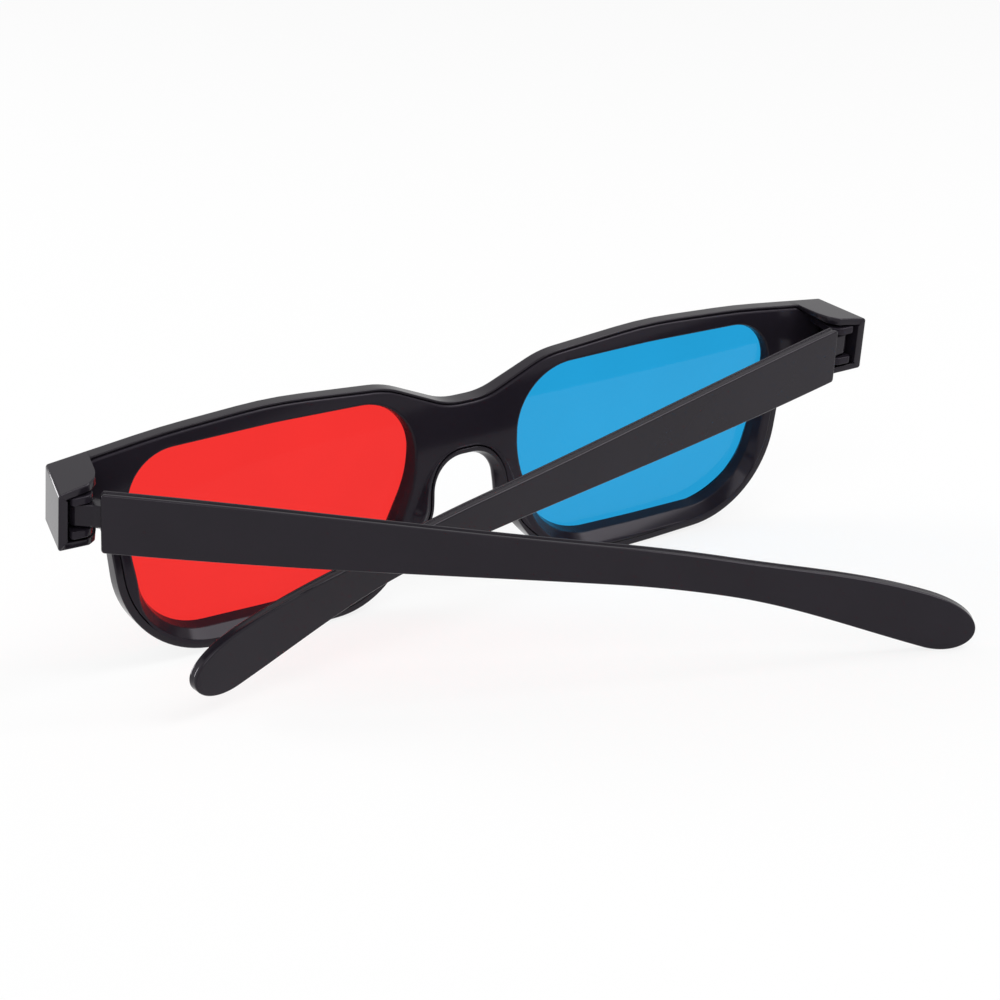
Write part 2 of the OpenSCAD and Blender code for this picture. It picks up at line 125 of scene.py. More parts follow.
class LensSizes(bpy.types.PropertyGroup):
    """Sizes of the lens openings and films, as in the solid parts"""

    w: length("Width", "Width of one lens opening", 50.1)
    h: length("Height", "Height of one lens opening", 31.6)
    top: length("Top", "Height of the openings' top over the optical axis", 13)
    gap: length("Gap", "Distance between the two openings", 20.6)
    outer_taper: length("Outer taper", "How far the lower outer corner is drawn in", 4.6)
    inner_taper: length("Inner taper", "How far the lower inner corner is drawn in", 6.9)
    crown: length("Crown", "Rise of the upper edge in the middle", 0.4)
    film: length("Film", "Thickness of a film", 0.6)
    film_d: length("Film depth", "Distance of a film in front of the lens plane", 0.6)
    lip: length("Lip", "How far a film reaches under the frame", 1.5)
    funnel: share("Funnel", "Width of the bevel around an opening for its depth", 0.3)
    low_funnel: length("Low funnel", "Width of the bevel under an opening", 1.8)
    knee: share("Knee", "Place of the bevel's knee on its width", 0.4)
    low_knee: share("Low knee", "Place of the knee under an opening", 0.2)
    shell_lip: share("Shell lip", "Share of a film's lip that the shell leaves free", 0.6)


class FrontSizes(bpy.types.PropertyGroup):
    """Sizes of the front shell and the rear cover"""

    brow_h: length("Brow", "Height of the brow over the openings", 4.1)
    brow_fall: length("Brow fall", "Fall of the brow from its crown to the end piece", 3.4)
    brow_bow: length("Brow bow", "Rise of the brow's bow over its straight fall", 0.6)
    saddle_drop: length("Saddle drop", "Height of the saddle under the openings' top", 2.5)
    saddle_w: length("Saddle", "Half width of the bridge saddle's floor", 3.6)
    shoulder_w: length("Shoulder", "Distance of the brow's shoulder from an opening", 4.6)
    shoulder_drop: length("Shoulder drop", "Drop of the brow's shoulder", 1.7)
    rim_side: length("Side rim", "Width of the rim beside an opening", 3.9)
    rim_low: length("Low rim", "Width of the rim under an opening", 3.8)
    nose_w: length("Nose arch", "Half width of the nose arch", 5.7)
    nose_top: length("Nose crown", "Height of the nose arch's crown", 0.6)
    nose_low: length("Nose spread", "Height at which the nose arch begins to spread", -9.5)
    nose_waist: length("Nose waist", "Depth at which the nose arch is narrowest", 1.2)
    nose_flare: share("Nose flare", "Width of the nose arch's flare for its depth", 0.6)
    nose_front: length("Nose front", "Width of the flare at the front of the nose arch", 3)
    nose_edge: length("Nose edge", "Least width of the flare at the front", 0.35)
    nose_reach: length("Nose reach", "How far the nose's forms reach under an opening", 5)
    nose_fade: length("Nose fade", "Width over which the nose's forms fade", 8.5)
    depth: length("Depth", "Distance from the lens plane to the front face", 2)
    bevel: length("Bevel", "Width of the bevel around the front face", 2)
    bevel_d: length("Bevel depth", "Depth of the bevel around the front face", 1.4)
    brow_edge: length("Brow edge", "Width of the narrow bevel around the brow", 0.12)
    brow_edge_d: length("Brow edge depth", "Depth of the narrow bevel around the brow", 0.25)
    wall: length("Wall", "Thickness of the shell's walls", 1.2)
    brow_wall: length("Brow wall", "Thickness of the shell's wall along the brow", 0.4)
    wall_d: length("Wall depth", "Depth of the shell's walls behind the lens plane", 1.5)
    proud: length("Cover", "Height by which the rear cover stands out of the shell", 0.3)
    slope: angle("Rear slope", "Slope of the rear side", 5)
    seam: length("Seam", "Gap between the rear cover and the shell", 0.12)
    pad: length("Nose pad", "Height of the nose pads over the rear cover", 1.7)
    pad_w: length("Nose pad width", "Width of the nose pads", 2.4)
    strip: length("Strip", "Least width of the strip along the seam", 0.06)
    end_reach: length("End piece", "How far an end piece stands out beside the rim", 8.6)
    end_spread: length("End spread", "Width by which an end piece spreads to the rear", 2.6)
    end_d: length("End depth", "Depth of the end pieces behind the lens plane", 7.8)
    end_h: length("End height", "Height of an end piece", 9.5)
    end_wall: length("End wall", "Thickness of an end piece's outer wall", 1.5)
    end_round: length("End rounding", "Radius of an end piece's long edges", 0.5)
    edge: length("Edge", "Radius of the moulded edges", 0.3)


class HingeSizes(bpy.types.PropertyGroup):
    """Sizes of the lugs, barrels and pins of the hinges"""

    axis_in: length("Axis inset", "Distance of the axis inside the end piece's side", 1.7)
    axis_y: length("Axis depth", "Distance of the axis behind the lens plane", 5.6)
    pin_d: length("Pin", "Diameter of a pin", 1.2)
    lug_r: length("Lug", "Outer radius of the lugs", 2.1)
    lug_t: length("Lug thickness", "Thickness of the lugs", 1.3)
    barrel_r: length("Barrel", "Outer radius of a temple's barrel", 1.7)
    play: length("Play", "Gap between a barrel and the lugs", 0.15)


class TempleSizes(bpy.types.PropertyGroup):
    """Sizes of the temples and the angles at which they stand"""

    reach: length("Length", "Length from the hinge axis to the tip", 135.8)
    thick: length("Thickness", "Thickness of a temple", 1.8)
    out: length("Offset", "Distance of the outer face from the hinge axis", 3.5)
    butt_d: length("Butt", "Distance of the butt end from the hinge axis", 3.4)
    butt_h: length("Butt height", "Height at the butt end", 9.7)
    waist_h: length("Waist height", "Height at the waist", 6)
    waist_d: length("Waist", "Distance of the waist from the hinge axis", 97)
    ear_h: length("Ear height", "Height at the ear end", 9.2)
    tip: length("Tip", "Length of the rounded tip", 8)
    rise: length("Tip rise", "Rise of the tip's end over the bend", 1)
    sag: length("Sag", "Sag of the straight part in its middle", 0.25)
    bend_d: length("Bend", "Distance at which a temple begins to bend down", 82)
    bend_r: length("Bend radius", "Radius of the bend over the ear", 212)
    edge: length("Edge", "Radius of a temple's long edges", 0.5)
    channel: length("Channel", "Depth of the shallow channel along a temple's narrow sides", 0.2)
    fall: angle("Fall", "Fall along the straight part", 5)
    left_fold: angle("Left fold", "Fold of the left temple from its open position", 61.2)
    right_fold: angle("Right fold", "Fold of the right temple from its open position", 82.4)
    lift: angle("Lift", "Lift of the left temple and sag of the right one", 1.2)


class Finishes(bpy.types.PropertyGroup):
    """Colours and gloss of the pieces"""

    plastic: colour("Plastic", "Colour of the moulded plastic", (0.0115, 0.0095, 0.0135))
    gloss: share("Plastic roughness", "Roughness of the moulded plastic", 0.13)
    shell_shine: share("Shell shine", "Strength of the shell's reflections", 0.25)
    cover_shine: share("Cover shine", "Strength of the rear cover's reflections", 0.14)
    temple_shine: share("Temple shine", "Strength of the temples' reflections", 0.23)
    cover_tone: number("Cover tone", "Lightness of the rear cover beside the shell", 1.5)
    red: colour("Red film", "Colour that the left film lets through", (0.91, 0.036, 0.033))
    cyan: colour("Cyan film", "Colour that the right film lets through", (0.018, 0.36, 0.7))
    red_bend: number("Red refraction", "Refractive index of the left film", 1.08)
    cyan_bend: number("Cyan refraction", "Refractive index of the right film", 1.24)
    steel: colour("Steel", "Colour of the hinge pins", (0.6, 0.6, 0.62))
    floor: colour("Floor", "Colour of the floor", (0.9, 0.9, 0.9))


def part_of(value):
    """A value held between 0 and 1"""
    return min(1.0, max(0.0, value))


def mix(a, b, part):
    """The value at a part of the way from one value to another"""
    return a + (b - a) * part


def eased(a, b, part):
    """As mix, with a soft start and end"""
    return mix(a, b, (1 - math.cos(math.pi * part_of(part))) / 2)


def between(places, at):
    """The value at a place on a list of (place, value) that rises in place"""
    if at <= places[0][0]:
        return places[0][1]
    for (a, low), (b, high) in zip(places, places[1:]):
        if at <= b:
            return mix(low, high, (at - a) / (b - a))
    return places[-1][1]


def hump(at, low, crest, high):
    """0 up to a low place, 1 at the crest and 0 again from a high place on"""
    if at < crest:
        return eased(0, 1, (at - low) / (crest - low))
    return eased(0, 1, (high - at) / (high - crest))


class Spot:
    """A place on a clockwise outline, with the way into the piece from there"""

    def __init__(self, at, inward, radius=math.inf, crook=None, ends=()):
        self.at = at
        self.inward = inward
        self.radius = radius
        self.crook = crook
        self.ends = ends

    def inset(self, d):
        """The place further in, kept apart from its neighbours in a corner that runs out"""
        if d > DRAW_SHARE * self.radius:
            corner, way = self.crook
            apart = self.inward * (1 - DRAW_SHARE) * self.radius
            return corner + way * max(d, self.radius) - apart
        spot = self.at + self.inward * d
        for corner, away, room in self.ends:
            lack = d * room - DRAW_SHARE * (self.at - corner).dot(away)
            if lack > 0:
                spot = spot + away * lack
        return spot

    def mirrored(self):
        """The same place on the other half of the front"""
        flip = Vector((-1, 1))
        crook = self.crook and (self.crook[0] * flip, self.crook[1] * flip)
        ends = [(corner * flip, away * flip, room) for corner, away, room in self.ends]
        return Spot(self.at * flip, self.inward * flip, self.radius, crook, ends)


def right_of(v):
    """The direction to the right of another one"""
    return Vector((v.y, -v.x))


class Bend:
    """The arc that rounds a corner (x, y, radius), on a share of its sides at most"""

    def __init__(self, before, corner, after, side_share):
        self.at = Vector(corner[:2])
        self.back = Vector(before[:2]) - self.at
        self.ahead = Vector(after[:2]) - self.at
        room = side_share * min(self.back.length, self.ahead.length)
        self.back.normalize()
        self.ahead.normalize()
        half = math.acos(max(-1.0, min(1.0, self.back.dot(self.ahead)))) / 2
        reach = min(corner[2] / math.tan(half), room)
        self.radius = reach * math.tan(half)
        # An inset by 1 shortens a side by the loss and moves the corner itself by the way
        self.loss = 1 / math.tan(half)
        self.way = (self.back + self.ahead).normalized() / math.sin(half)
        self.mid = self.at + self.way * self.radius
        a = self.at + self.back * reach - self.mid
        b = self.at + self.ahead * reach - self.mid
        self.start = math.atan2(a.y, a.x)
        turn = math.atan2(b.y, b.x) - self.start
        self.sweep = (turn + 3 * math.pi) % (2 * math.pi) - math.pi
        self.convex = self.sweep < 0

    def rays(self, steps):
        """Directions from the arc's middle to its points"""
        turns = [self.start + self.sweep * k / steps for k in range(steps + 1)]
        return [Vector((math.cos(turn), math.sin(turn))) for turn in turns]

    def spots(self):
        """Spots along the arc as a part of a clockwise outline"""
        radius = self.radius if self.convex else math.inf
        steps = max(2, math.ceil(abs(self.sweep) / ARC_STEP))
        return [Spot(self.mid + ray * self.radius, -ray if self.convex else ray, radius,
                     (self.at, self.way)) for ray in self.rays(steps)]

    def end_of(self, side):
        """How an inset shortens a side, if the corner stands out"""
        return [(self.at, side, self.loss)] if self.convex else []


def outline(corners, step):
    """Spots along a clockwise loop of corners (x, z, radius), spaced on its sides by step(x, z)"""
    bends = []
    for i, corner in enumerate(corners):
        side_share = HARD_SHARE if corner[2] < SOFT_R else SOFT_SHARE
        bends.append(Bend(corners[i - 1], corner, corners[(i + 1) % len(corners)], side_share))
    arcs = [bend.spots() for bend in bends]
    loop = []
    for i, bend in enumerate(bends):
        after = (i + 1) % len(bends)
        loop += arcs[i]
        a, b = arcs[i][-1].at, arcs[after][0].at
        ends = bend.end_of(bend.ahead) + bends[after].end_of(bends[after].back)
        gone = step(a.x, a.y)
        while gone < (b - a).length - LAST_STEP * step(b.x, b.y):
            here = a + (b - a).normalized() * gone
            loop.append(Spot(here, right_of(bend.ahead), ends=ends))
            gone += step(here.x, here.y)
    return loop


def along(points):
    """Spots on the points of a clockwise loop that is smooth already"""
    spots = []
    for i, at in enumerate(points):
        way = points[(i + 1) % len(points)] - points[i - 1]
        spots.append(Spot(at, right_of(way.normalized())))
    return spots


def softened(path, steps=FILLET_STEPS):
    """An open path of corners (a, b, radius) with its inner corners turned into arcs"""
    points = [Vector(path[0][:2])]
    for before, corner, after in zip(path, path[1:], path[2:]):
        bend = Bend(before, corner, after, FILLET_SHARE)
        points += [bend.mid + ray * bend.radius for ray in bend.rays(steps)]
    return points + [Vector(path[-1][:2])]


def rounded_edges(path, steps=FILLET_STEPS):
    """The arcs of a softened path without its two ends, which lie on the flat sides"""
    return softened(path, steps)[1:-1]


class Moulding:
    """A piece under construction: rings of points drawn out of one another in edit mode"""

    def __init__(self, name):
        self.name = name
        self.piece = None
        bpy.ops.object.select_all(action="DESELECT")

    def ring(self, points):
        """Adds a circle and moves its points onto an outline"""
        if self.piece:
            bpy.ops.mesh.select_all(action="DESELECT")
        bpy.ops.mesh.primitive_circle_add(vertices=len(points), radius=MM)
        if not self.piece:
            self.piece = bpy.context.active_object
            self.piece.name = self.piece.data.name = self.name
            bpy.ops.object.mode_set(mode="EDIT")
        total = len(bmesh.from_edit_mesh(self.piece.data).verts)
        return self.moved(list(range(total - len(points), total)), points)

    def moved(self, ring, points):
        """Moves a ring of point numbers onto other points"""
        mesh = bmesh.from_edit_mesh(self.piece.data)
        mesh.verts.ensure_lookup_table()
        for i, point in zip(ring, points):
            mesh.verts[i].co = point
        bmesh.update_edit_mesh(self.piece.data)
        return ring

    def choose(self, *rings):
        """Selects the points and edges of rings alone"""
        bpy.ops.mesh.select_all(action="DESELECT")
        mesh = bmesh.from_edit_mesh(self.piece.data)
        mesh.verts.ensure_lookup_table()
        for ring in rings:
            for i in ring:
                mesh.verts[i].select = True
        mesh.select_flush_mode()
        bmesh.update_edit_mesh(self.piece.data)

    def drawn(self, ring, points):
        """Extrudes a ring and moves the new one onto other points"""
        self.choose(ring)
        bpy.ops.mesh.extrude_edges_move()
        mesh = bmesh.from_edit_mesh(self.piece.data)
        mesh.verts.index_update()
        mesh.verts.ensure_lookup_table()
        new = []
        for i in ring:
            ends = [edge.other_vert(mesh.verts[i]) for edge in mesh.verts[i].link_edges]
            new.append(next(end.index for end in ends if end.select))
        return self.moved(new, points)

    def swept(self, rings):
        """Draws a wall through rings of points and gives its first and last ring"""
        first = last = self.ring(rings[0])
        for points in rings[1:]:
            last = self.drawn(last, points)
        return first, last

    def filled(self, *rings):
        """A flat face between rings, with the inner ones as its holes"""
        self.choose(*rings)
        bpy.ops.mesh.fill(use_beauty=True)

    def capped(self, rings):
        """A wall through rings of points, closed at both ends"""
        for ring in self.swept(rings):
            self.filled(ring)

    def finished(self, body, node, material):
        """Closes the piece, smooths it and puts it on a body for a node of the solid parts"""
        bpy.ops.mesh.select_all(action="SELECT")
        bpy.ops.mesh.normals_make_consistent(inside=False)
        bpy.ops.object.mode_set(mode="OBJECT")
        bpy.ops.object.shade_smooth_by_angle(angle=SMOOTH_ANGLE)
        bpy.ops.object.modifier_add(type="WEIGHTED_NORMAL")
        modifier = self.piece.modifiers[-1]
        modifier.keep_sharp = True
        bpy.ops.object.modifier_apply(modifier=modifier.name)
        self.piece.data.materials.append(material)
        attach(self.piece, body)
        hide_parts(node)


def layout():
    """The places on the front that follow from the sizes, x to the wearer's left and z up"""
    scene = bpy.context.scene
    lens, front, hinge = scene.glasses_lens, scene.glasses_front, scene.glasses_hinge
    p = SimpleNamespace(lens=lens, front=front, hinge=hinge, temple=scene.glasses_temple)
    p.lens_in = lens.gap / 2
    p.lens_out = p.lens_in + lens.w
    p.lens_mid = (p.lens_in + p.lens_out) / 2
    p.lens_low = lens.top - lens.h
    p.brow_top = lens.top + front.brow_h
    p.rim_out = p.lens_out + front.rim_side
    p.rim_floor = p.lens_low - front.rim_low
    p.saddle_top = lens.top - front.saddle_drop
    p.end_top = p.brow_top - front.brow_fall
    p.end_floor = p.end_top - front.end_h
    p.end_w = p.rim_out + front.end_reach
    p.end_root = p.rim_out + 2 * front.wall
    p.bow_x = (p.lens_mid + p.end_w) / 2
    p.bow_z = (p.brow_top + p.end_top) / 2 + front.brow_bow
    p.brow_rise = (p.bow_z - p.end_top) / (p.end_w - p.bow_x)
    p.film = -lens.film_d
    p.seat = p.film - lens.film
    p.cover_y = front.wall_d + front.proud
    p.slope = math.tan(front.slope)
    p.axis_x = p.end_w - hinge.axis_in
    p.lug_low = p.end_floor + front.wall + front.seam
    p.lug_top = (p.end_top + p.brow_rise * (p.end_w - p.axis_x - hinge.lug_r)
                 - front.wall - front.seam)
    p.barrel_low = p.lug_low + hinge.lug_t + hinge.play
    p.barrel_top = p.lug_top - hinge.lug_t - hinge.play
    p.barrel_mid = (p.barrel_low + p.barrel_top) / 2
    p.stand = (Matrix.Translation(HINGE["pos_m"]) @ Matrix.Rotation(-LEAN, 4, "X")
               @ Matrix.Translation((-p.axis_x, -hinge.axis_y, -p.barrel_mid)))
    p.lens_spots = outline(lens_corners(p), lambda x, z: LENS_STEP)
    p.front_spots = outline(front_corners(p), lambda x, z: front_step(p, x, z))
    return p


def front_step(p, x, z):
    """Spacing of the points on the front's outline, finer on its end pieces"""
    on_end = abs(x) > p.end_root - MM and z > p.end_floor - MM
    return END_STEP if on_end else FRONT_STEP


def lens_corners(p):
    """Corners of the left lens opening as (x, z, radius), clockwise from its top"""
    lens = p.lens
    return [
        (p.lens_mid, lens.top + lens.crown, 120 * MM),
        (p.lens_out, lens.top - lens.crown / 4, 7.5 * MM),
        (p.lens_out - lens.crown, lens.top - lens.h * 0.45, 30 * MM),
        (p.lens_out - lens.outer_taper, p.lens_low + lens.crown / 2, 12 * MM),
        (p.lens_mid, p.lens_low, 150 * MM),
        (p.lens_in + lens.inner_taper, p.lens_low + lens.crown / 2, 13 * MM),
        (p.lens_in, lens.top - lens.h * 0.45, 20 * MM),
        (p.lens_in, lens.top - lens.crown / 4, 10 * MM),
    ]


def front_corners(p):
    """Corners of the front as (x, z, radius), clockwise from its saddle"""
    front, lens = p.front, p.lens
    half = [
        (front.saddle_w, p.saddle_top, 12 * MM),
        (p.lens_in + front.shoulder_w, p.brow_top - front.shoulder_drop, 16 * MM),
        (p.lens_mid, p.brow_top, 130 * MM),
        (p.bow_x, p.bow_z, 130 * MM),
        (p.end_w, p.end_top, front.end_round),
        (p.end_w, p.end_floor, front.end_round),
        (p.rim_out + 0.6 * MM, p.end_floor - 0.9 * MM, 3 * MM),
        (p.rim_out - 0.5 * MM, lens.top - lens.h * 0.42, 40 * MM),
        (p.lens_out + 0.1 * MM, p.rim_floor + 1.5 * MM, 18 * MM),
        (p.lens_mid - 2.4 * MM, p.rim_floor, 120 * MM),
        (p.lens_in + lens.inner_taper + 1.1 * MM, p.rim_floor + 0.5 * MM, 14 * MM),
        (front.nose_w, front.nose_low, 8 * MM),
        (front.nose_w - 0.6 * MM, front.nose_top, front.nose_w - 1.2 * MM),
    ]
    return half + [(-x, z, r) for x, z, r in reversed(half)]


def near_nose(p, at):
    """1 beside the nose arch, falling to 0 under the lens openings"""
    if at.y > p.lens.top / 2:
        return 0
    return eased(0, 1, (p.lens_in + p.front.nose_reach - abs(at.x)) / p.front.nose_fade)


def near_brow(p, at):
    """1 along the brow, falling to 0 at the end pieces"""
    if at.y < p.lens.top * 0.7:
        return 0
    return part_of((p.end_root + 1.5 * MM - abs(at.x)) / (2 * MM))


def nose_swell(p, at):
    """Height by which the nose arch's rear edge rises with the nose pads"""
    return SWELL_SHARE * p.front.pad * hump(at.y, *SWELL_SPAN) * near_nose(p, at)


def wall_rear(p, at):
    """Depth of the rear edge of the shell's wall at a place on the front's outline"""
    x = abs(at.x)
    flat = p.front.wall_d - at.y * p.slope
    if x > p.end_root and at.y > p.end_floor - 3 * MM:
        plan = [(p.end_root + out, y) for out, y in END_PLAN]
        return between([(p.end_root, flat), *plan, (p.end_w, p.front.end_d)], x)
    return mix(flat, p.cover_y - at.y * p.slope, near_nose(p, at)) + nose_swell(p, at)


def nose_waist(p, at):
    """Depth at which the nose arch is narrowest, further to the front at its crown"""
    return p.front.nose_waist - MM * part_of((at.y + WAIST_RISE) / WAIST_RISE)


def nose_flare(p, at):
    """Width of the nose arch's flare at its rear edge"""
    return near_nose(p, at) * p.front.nose_flare * (wall_rear(p, at) - nose_waist(p, at))


def wall_at(p, at):
    """Thickness of the shell's wall, from the outline to the seam"""
    front = p.front
    side = mix(front.wall, front.end_wall, part_of((abs(at.x) - p.end_w + MM) / MM))
    plain = mix(side, front.brow_wall, near_brow(p, at))
    land = mix(*NOSE_LANDS, part_of((at.y + 2 * MM) / (3 * MM)))
    return mix(plain, nose_flare(p, at) + land, near_nose(p, at))


def shell_profile(p, spot):
    """Cross section of the shell's wall as (inset, depth), from its front to its inner floor"""
    front = p.front
    at = spot.at
    nose = near_nose(p, at)
    low = part_of((p.end_floor - at.y) / (5 * MM))
    spread = front.nose_front * part_of((front.nose_top - at.y) / (8 * MM)) + front.nose_edge
    bevel = mix(mix(front.brow_edge, front.bevel, low), spread, nose)
    bevel_d = mix(front.brow_edge_d, front.bevel_d, low)
    waist = mix(bevel_d - front.depth, nose_waist(p, at), nose)
    rear, wall = wall_rear(p, at), wall_at(p, at)
    return softened([
        (bevel + 0.8 * MM, -front.depth),
        (bevel, -front.depth, 0.4 * MM),
        (0, waist, mix(0.5 * MM, 1.2 * MM, nose)),
        (nose_flare(p, at), rear, front.edge),
        (wall, rear, front.edge / 3),
        (wall, p.seat),
    ])[1:]


def spread_end(p, x, y, z):
    """Moves a point of an end piece out as the piece spreads to the rear"""
    part = part_of((abs(x) - p.end_root) / (4 * MM)) * part_of((z - p.end_floor) / (2 * MM) + 1)
    out = part * p.front.end_spread * (y + p.front.depth) / (p.front.end_d + p.front.depth)
    high = part_of((z - p.end_floor) / p.front.end_h)
    return Vector((x + math.copysign(out, x), y, z - out * p.brow_rise * high))


def rings_of(spots, profiles, place):
    """Rings of points: place(inset spot, depth) along each line of the spots' profiles"""
    return [[place(spot.inset(profile[k].x), profile[k].y)
             for spot, profile in zip(spots, profiles)] for k in range(len(profiles[0]))]


def both_sides(spots):
    """The spots of the left half and their mirror images, clockwise too"""
    return spots, [spot.mirrored() for spot in reversed(spots)]


def mould_shell(p, material):
    """The front shell with its two lens holes"""
    front = p.front
    shell = Moulding("front_shell")
    profiles = [shell_profile(p, spot) for spot in p.front_spots]
    outer = shell.swept(rings_of(p.front_spots, profiles, lambda at, y: p.stand @ spread_end(
        p, at.x, y, at.y)))
    lip = p.lens.lip * p.lens.shell_lip
    hole = rounded_edges([(-lip - MM, -front.depth), (-lip, -front.depth, 0.3 * MM),
                          (-lip, p.seat, 0.1 * MM), (-lip - MM, p.seat)])
    holes = [shell.swept(rings_of(spots, [hole] * len(spots),
                                  lambda at, y: p.stand @ Vector((at.x, y, at.y))))
             for spots in both_sides(p.lens_spots)]
    for end in (0, 1):
        shell.filled(outer[end], *(ring[end] for ring in holes))
    shell.finished("front", "front_frame", material)


def pad_width(p, at):
    """Width of the strip along the seam that the nose pads rise from"""
    return p.front.strip + p.front.pad_w * hump(at.y, *PAD_SPAN) * near_nose(p, at)


def pad_height(p, at, part):
    """Height of a nose pad at a part of the strip's width, from the seam to the plain cover"""
    crown = hump(at.y, *CROWN_SPAN) * near_nose(p, at)
    top = nose_swell(p, at) + (1 - SWELL_SHARE) * p.front.pad * crown
    if part < PAD_CREST:
        return eased(nose_swell(p, at), top, part / PAD_CREST)
    return eased(top, 0, (part - PAD_CREST) / (1 - PAD_CREST))


def cover_profile(p, spot):
    """Cross section of the rear cover's edge as (inset, depth), from its front to its rear side"""
    at = spot.at
    edge = wall_at(p, at) + p.front.seam
    rear = p.cover_y - at.y * p.slope
    strip = edge + p.front.edge
    lip = rear + nose_swell(p, at)
    profile = softened([(edge, p.film + HAIR), (edge, lip, p.front.edge),
                        (edge + 2 * MM, lip)])[:-1]
    for k in range(1, PAD_STEPS + 1):
        part = k / PAD_STEPS
        profile.append(Vector((strip + part * pad_width(p, at), rear + pad_height(p, at, part))))
    return profile


def funnel_profile(p, spot):
    """Cross section of the bevel around a lens opening, from the rear side to the film"""
    rear = p.cover_y - spot.at.y * p.slope
    deep = rear - p.film
    low = eased(0, 1, (LOW_FUNNEL_Z - spot.at.y) / LOW_FUNNEL_FADE)
    wide = mix(p.lens.funnel * deep, p.lens.low_funnel, low)
    knee = mix(p.lens.knee, p.lens.low_knee, low) * wide
    front = p.film + HAIR
    return rounded_edges([
        (-wide - 2 * MM, rear), (-wide, rear, 0.5 * MM), (-knee, p.film + deep / 2, 0.8 * MM),
        (0, front, 0.05 * MM), (-0.6 * MM, front)], FUNNEL_STEPS)


def on_slope(p, spots, profiles):
    """Rings whose depths follow the sloped rear side as the spots move up and down on it"""
    rings = []
    for k in range(len(profiles[0])):
        ring = []
        for spot, profile in zip(spots, profiles):
            at = spot.inset(profile[k].x)
            rear = p.cover_y - spot.at.y * p.slope
            part = part_of((profile[k].y - p.film) / (rear - p.film))
            y = profile[k].y + (spot.at.y - at.y) * p.slope * part
            ring.append(p.stand @ Vector((at.x, y, at.y)))
        rings.append(ring)
    return rings


def mould_cover(p, material):
    """The rear cover with its two lens openings and the nose pads"""
    cover = Moulding("rear_cover")
    outer = cover.swept(on_slope(p, p.front_spots, [cover_profile(p, s) for s in p.front_spots]))
    holes = [cover.swept(on_slope(p, spots, [funnel_profile(p, s) for s in spots]))
             for spots in both_sides(p.lens_spots)]
    cover.filled(outer[1], *(first for first, _ in holes))
    cover.filled(outer[0], *(last for _, last in holes))
    cover.finished("front", "rear_frame", material)


def end_side(p, y):
    """Distance of an end piece's outer side from the middle, at a depth"""
    front = p.front
    return p.end_w + front.end_spread * (y + front.depth) / (front.end_d + front.depth)


def mould_lugs(p, side, material):
    """The two lugs of a hinge on their webs, side 1 for the left and -1 for the right"""
    hinge, front = p.hinge, p.front
    lugs = Moulding(("left" if side > 0 else "right") + "_hinge_lugs")
    far = hinge.axis_y + hinge.lug_r
    inner, reach = p.axis_x - hinge.lug_r, front.end_wall + front.seam
    near = 0.4 * MM
    corners = [
        (inner, far, hinge.lug_r * 0.98), (end_side(p, far) - reach - 0.4 * MM, far, 0.7 * MM),
        (end_side(p, near) - reach, near, 0.1 * MM), (inner, near, 0.1 * MM),
    ]
    spots = outline(corners, lambda x, y: MM)
    for low, high in ((p.lug_low, p.lug_low + hinge.lug_t), (p.lug_top - hinge.lug_t, p.lug_top)):
        edge = 0.22 * MM
        profile = rounded_edges([(MM, low), (0, low, edge), (0, high, edge), (MM, high)])
        lugs.capped(rings_of(spots, [profile] * len(spots), lambda at, z: p.stand @ Vector(
            (side * at.x, at.y, z))))
    lugs.finished("front", "rear_frame", material)


def mould_film(p, name, spots, node, material):
    """A film that fills a lens opening and lies under its edge"""
    film = Moulding(name)
    edge = 0.1 * MM
    lip = p.lens.lip
    rear = p.film - 0.005 * MM
    profile = rounded_edges([(MM - lip, p.seat), (-lip, p.seat, edge), (-lip, rear, edge),
                             (MM - lip, rear)])
    film.capped(rings_of(spots, [profile] * len(spots),
                         lambda at, y: p.stand @ Vector((at.x, y, at.y))))
    film.finished("front", node, material)


def temple_mid(p, s):
    """Height of a temple's middle line at a distance from its hinge"""
    t = p.temple
    bend = max(0, s - t.bend_d) ** 2 / (2 * t.bend_r)
    sag = t.sag * math.sin(math.pi * part_of(s / t.bend_d))
    rise = t.rise * part_of((s - t.reach + t.tip) / t.tip) ** 2
    return p.barrel_mid - math.tan(t.fall) * s - bend - sag + rise


def temple_half(p, s):
    """Half the height of a temple at a distance from its hinge"""
    t = p.temple
    if s < t.waist_d:
        h = eased(t.butt_h, t.waist_h, (s - t.butt_d) / (t.waist_d - t.butt_d))
    else:
        h = eased(t.waist_h, t.ear_h, (s - t.waist_d) / (t.reach - t.tip - t.waist_d))
    past = max(0, (s - t.reach + t.tip) / t.tip)
    return h / 2 * math.sqrt(max(0, 1 - past * past))


def temple_outline(p):
    """Side view of a temple as (distance from the hinge, height), clockwise from its butt"""
    t = p.temple
    round_r = 0.6 * MM
    bar_end = t.reach - t.tip
    steps, tip_steps, butt_steps = 90, 26, 6
    stations = [mix(t.butt_d + round_r, bar_end, i / steps) for i in range(steps + 1)]
    stations += [bar_end + t.tip * math.sin(math.pi / 2 * i / tip_steps)
                 for i in range(1, tip_steps)]
    top = [Vector((s, temple_mid(p, s) + temple_half(p, s))) for s in stations]
    low = [Vector((s, temple_mid(p, s) - temple_half(p, s))) for s in stations]
    tip = Vector((t.reach, temple_mid(p, t.reach)))
    quarter = [math.pi / 2 * i / butt_steps for i in range(butt_steps + 1)]
    foot = [low[0] + Vector((-math.sin(a), 1 - math.cos(a))) * round_r for a in quarter[1:]]
    head = [top[0] + Vector((-math.cos(a), math.sin(a) - 1)) * round_r for a in quarter[:-1]]
    return top + [tip] + low[::-1] + foot + head


